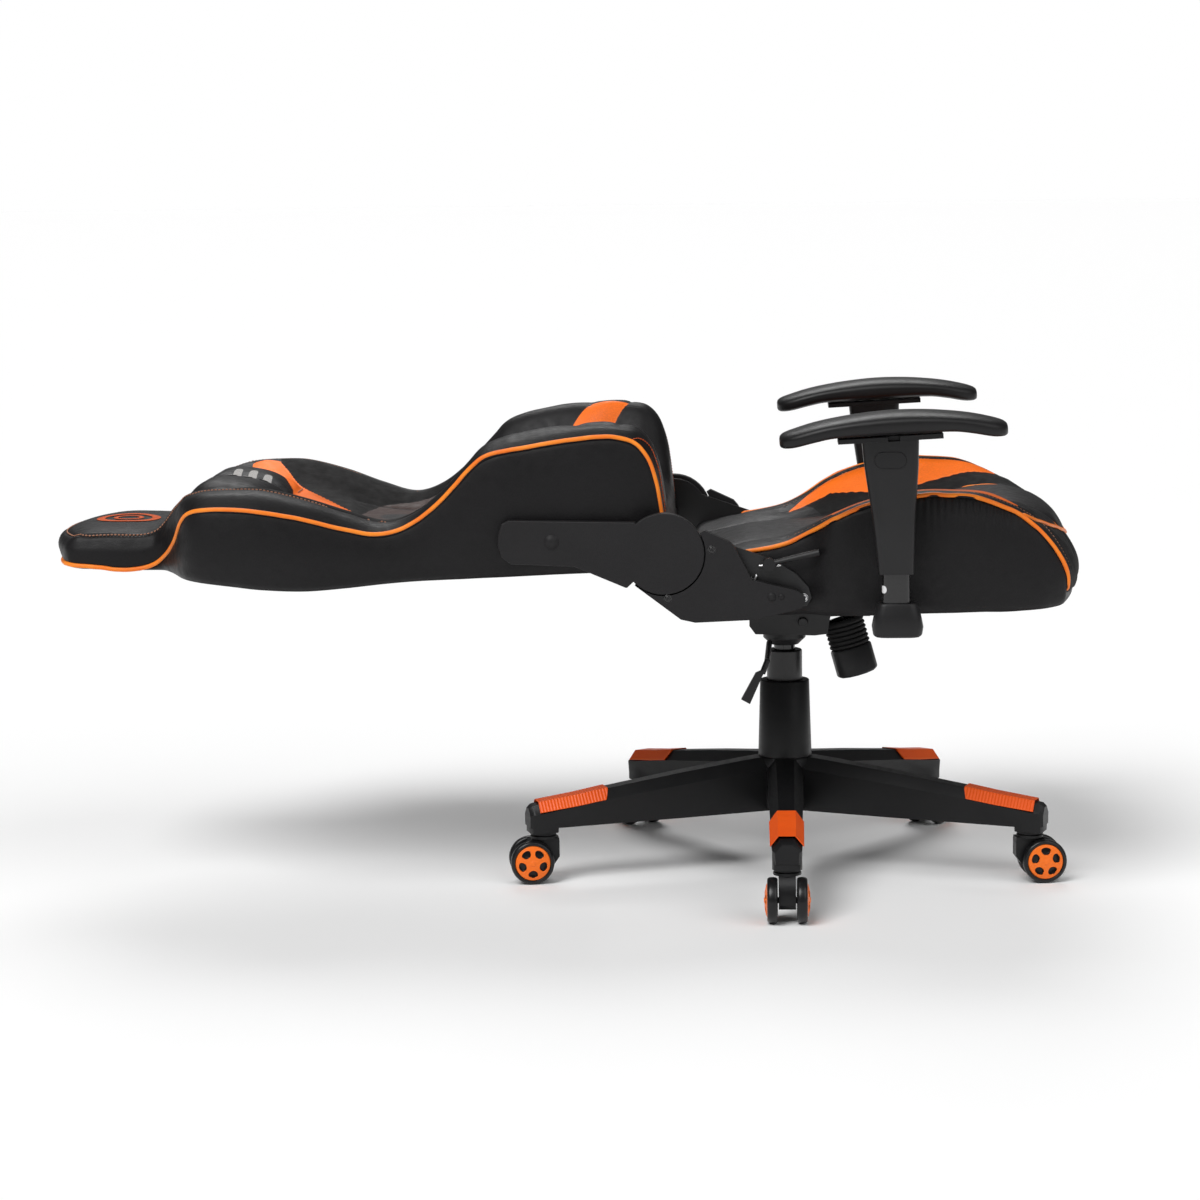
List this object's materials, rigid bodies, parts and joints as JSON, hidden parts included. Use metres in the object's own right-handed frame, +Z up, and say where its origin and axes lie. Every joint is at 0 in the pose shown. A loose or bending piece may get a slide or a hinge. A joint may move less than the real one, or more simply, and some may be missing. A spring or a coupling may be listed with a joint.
{
  "type": "gaming chair",
  "caption": "Racing-style gaming chair with its backrest laid flat, on a five-legged caster base with gas lift, rocker, recliner and adjustable armrests.",
  "frame": {"origin": "on the floor, where the gas lift's axis meets it", "axes": "+X forward out of the seat, +Y to the sitter's left, +Z up"},
  "size_m": [1.348, 0.7205, 0.6271],
  "materials": {
    "base_nylon": "satin",
    "cap_orange": "satin",
    "wheel_black": "matte",
    "lift_steel": "satin",
    "mechanism_steel": "satin",
    "arm_post_gloss": "gloss",
    "textured_plastic": "matte",
    "arm_pad_pu": "satin",
    "seat_leatherette": "satin",
    "back_leatherette": "satin"
  },
  "bodies": {
    "base": {"base_star": "base_nylon", "leg_cap_1": "cap_orange", "leg_cap_2": "cap_orange", "leg_cap_3": "cap_orange", "leg_cap_4": "cap_orange", "leg_cap_5": "cap_orange", "gas_cylinder": "lift_steel", "column_shroud": "base_nylon"},
    "caster_1": {"caster_1_hood": "base_nylon"},
    "caster_1_wheel_a": {"caster_1_wheel_a": "wheel_black"},
    "caster_1_wheel_b": {"caster_1_wheel_b": "wheel_black"},
    "caster_2": {"caster_2_hood": "base_nylon"},
    "caster_2_wheel_a": {"caster_2_wheel_a": "wheel_black"},
    "caster_2_wheel_b": {"caster_2_wheel_b": "wheel_black"},
    "caster_3": {"caster_3_hood": "base_nylon"},
    "caster_3_wheel_a": {"caster_3_wheel_a": "wheel_black"},
    "caster_3_wheel_b": {"caster_3_wheel_b": "wheel_black"},
    "caster_4": {"caster_4_hood": "base_nylon"},
    "caster_4_wheel_a": {"caster_4_wheel_a": "wheel_black"},
    "caster_4_wheel_b": {"caster_4_wheel_b": "wheel_black"},
    "caster_5": {"caster_5_hood": "base_nylon"},
    "caster_5_wheel_a": {"caster_5_wheel_a": "wheel_black"},
    "caster_5_wheel_b": {"caster_5_wheel_b": "wheel_black"},
    "piston": {"gas_piston": "lift_steel"},
    "rocker_block": {"rocker_block": "mechanism_steel"},
    "seat": {"mech_housing": "mechanism_steel", "tilt_pin": "lift_steel", "spring_sleeve": "textured_plastic", "tension_spring": "lift_steel", "seat_frame": "mechanism_steel", "seat_cushion": "seat_leatherette", "cross_rod": "lift_steel", "seat_bracket_left": "mechanism_steel", "seat_bracket_right": "mechanism_steel", "seat_cover_left": "textured_plastic", "seat_cover_right": "textured_plastic", "arm_post_left": "arm_post_gloss", "arm_post_right": "arm_post_gloss", "arm_cup_left": "textured_plastic", "arm_cup_right": "textured_plastic"},
    "knob": {"tension_knob": "textured_plastic", "tension_bolt": "lift_steel"},
    "height_lever": {"height_lever": "textured_plastic"},
    "recline_lever": {"recline_lever": "textured_plastic"},
    "backrest": {"back_frame": "mechanism_steel", "back_cushion": "back_leatherette", "back_bracket_left": "mechanism_steel", "back_bracket_right": "mechanism_steel", "back_cover_left": "textured_plastic", "back_cover_right": "textured_plastic"},
    "arm_left": {"arm_sleeve_left": "textured_plastic", "arm_plate_left": "textured_plastic"},
    "arm_button_left": {"arm_button_left": "textured_plastic"},
    "arm_pad_left": {"arm_pad_left": "arm_pad_pu"},
    "arm_right": {"arm_sleeve_right": "textured_plastic", "arm_plate_right": "textured_plastic"},
    "arm_button_right": {"arm_button_right": "textured_plastic"},
    "arm_pad_right": {"arm_pad_right": "arm_pad_pu"}
  },
  "joints": [
    {"name": "caster_1_swivel", "type": "hinge", "parent": "base", "child": "caster_1", "pos_m": [0, -0.332, 0.066], "axis": [0, 0, 1], "continuous": true},
    {"name": "caster_1_wheel_a_spin", "type": "hinge", "parent": "caster_1", "child": "caster_1_wheel_a", "pos_m": [0, -0.348, 0.0285], "axis": [1, 0, 0], "continuous": true},
    {"name": "caster_1_wheel_b_spin", "type": "hinge", "parent": "caster_1", "child": "caster_1_wheel_b", "pos_m": [0, -0.348, 0.0285], "axis": [1, 0, 0], "continuous": true},
    {"name": "caster_2_swivel", "type": "hinge", "parent": "base", "child": "caster_2", "pos_m": [0.31575, -0.10259, 0.066], "axis": [0, 0, 1], "continuous": true},
    {"name": "caster_2_wheel_a_spin", "type": "hinge", "parent": "caster_2", "child": "caster_2_wheel_a", "pos_m": [0.33161, -0.1005, 0.0285], "axis": [-0.1305, 0.9914, 0], "continuous": true},
    {"name": "caster_2_wheel_b_spin", "type": "hinge", "parent": "caster_2", "child": "caster_2_wheel_b", "pos_m": [0.33161, -0.1005, 0.0285], "axis": [-0.1305, 0.9914, 0], "continuous": true},
    {"name": "caster_3_swivel", "type": "hinge", "parent": "base", "child": "caster_3", "pos_m": [0.19515, 0.26859, 0.066], "axis": [0, 0, 1], "continuous": true},
    {"name": "caster_3_wheel_a_spin", "type": "hinge", "parent": "caster_3", "child": "caster_3_wheel_a", "pos_m": [0.20266, 0.28272, 0.0285], "axis": [-0.8829, 0.4695, 0], "continuous": true},
    {"name": "caster_3_wheel_b_spin", "type": "hinge", "parent": "caster_3", "child": "caster_3_wheel_b", "pos_m": [0.20266, 0.28272, 0.0285], "axis": [-0.8829, 0.4695, 0], "continuous": true},
    {"name": "caster_4_swivel", "type": "hinge", "parent": "base", "child": "caster_4", "pos_m": [-0.19515, 0.26859, 0.066], "axis": [0, 0, 1], "continuous": true},
    {"name": "caster_4_wheel_a_spin", "type": "hinge", "parent": "caster_4", "child": "caster_4_wheel_a", "pos_m": [-0.20266, 0.28272, 0.0285], "axis": [-0.8829, -0.4695, 0], "continuous": true},
    {"name": "caster_4_wheel_b_spin", "type": "hinge", "parent": "caster_4", "child": "caster_4_wheel_b", "pos_m": [-0.20266, 0.28272, 0.0285], "axis": [-0.8829, -0.4695, 0], "continuous": true},
    {"name": "caster_5_swivel", "type": "hinge", "parent": "base", "child": "caster_5", "pos_m": [-0.31575, -0.10259, 0.066], "axis": [0, 0, 1], "continuous": true},
    {"name": "caster_5_wheel_a_spin", "type": "hinge", "parent": "caster_5", "child": "caster_5_wheel_a", "pos_m": [-0.33159, -0.10482, 0.0285], "axis": [0.1392, -0.9903, 0], "continuous": true},
    {"name": "caster_5_wheel_b_spin", "type": "hinge", "parent": "caster_5", "child": "caster_5_wheel_b", "pos_m": [-0.33159, -0.10482, 0.0285], "axis": [0.1392, -0.9903, 0], "continuous": true},
    {"name": "lift_height", "type": "slide", "parent": "base", "child": "piston", "axis": [0, 0, 1], "range_m": [0, 0.08]},
    {"name": "seat_swivel", "type": "hinge", "parent": "piston", "child": "rocker_block", "pos_m": [0, 0, 0.33], "axis": [0, 0, 1], "continuous": true},
    {"name": "rocker_tilt", "type": "hinge", "parent": "rocker_block", "child": "seat", "pos_m": [0.024, 0, 0.331], "axis": [0, -1, 0], "range_deg": [0, 12], "stiffness_Nm_per_rad": 300, "springref_deg": -31.51},
    {"name": "tension_knob_turn", "type": "hinge", "parent": "seat", "child": "knob", "pos_m": [0.097, 0, 0.257], "axis": [0.2672, 0, -0.9636], "range_deg": [-720, 720]},
    {"name": "height_lever_pull", "type": "hinge", "parent": "seat", "child": "height_lever", "pos_m": [-0.02, -0.034, 0.3025], "axis": [-1, 0, 0], "range_deg": [0, 8], "stiffness_Nm_per_rad": 8, "springref_deg": -11.46},
    {"name": "recline_lever_pull", "type": "hinge", "parent": "seat", "child": "recline_lever", "pos_m": [-0.02, -0.25, 0.433], "axis": [0, -1, 0], "range_deg": [0, 30], "stiffness_Nm_per_rad": 1, "springref_deg": -17.19},
    {"name": "backrest_recline", "type": "hinge", "parent": "seat", "child": "backrest", "pos_m": [-0.151, 0, 0.448], "axis": [0, 1, 0], "range_deg": [0, 85]},
    {"name": "arm_height_left", "type": "slide", "parent": "seat", "child": "arm_left", "axis": [0, 0, 1], "range_m": [-0.034, 0.036]},
    {"name": "arm_button_press_left", "type": "slide", "parent": "arm_left", "child": "arm_button_left", "axis": [0, -1, 0], "range_m": [0, 0.0025], "stiffness_N_per_m": 800, "springref_m": -0.002},
    {"name": "arm_pad_slide_left", "type": "slide", "parent": "arm_left", "child": "arm_pad_left", "axis": [0.9986, 0, 0.0523], "range_m": [-0.015, 0.015]},
    {"name": "arm_height_right", "type": "slide", "parent": "seat", "child": "arm_right", "axis": [0, 0, 1], "range_m": [-0.034, 0.036]},
    {"name": "arm_button_press_right", "type": "slide", "parent": "arm_right", "child": "arm_button_right", "axis": [0, 1, 0], "range_m": [0, 0.0025], "stiffness_N_per_m": 800, "springref_m": -0.002},
    {"name": "arm_pad_slide_right", "type": "slide", "parent": "arm_right", "child": "arm_pad_right", "axis": [0.9986, 0, 0.0523], "range_m": [-0.015, 0.015]}
  ]
}
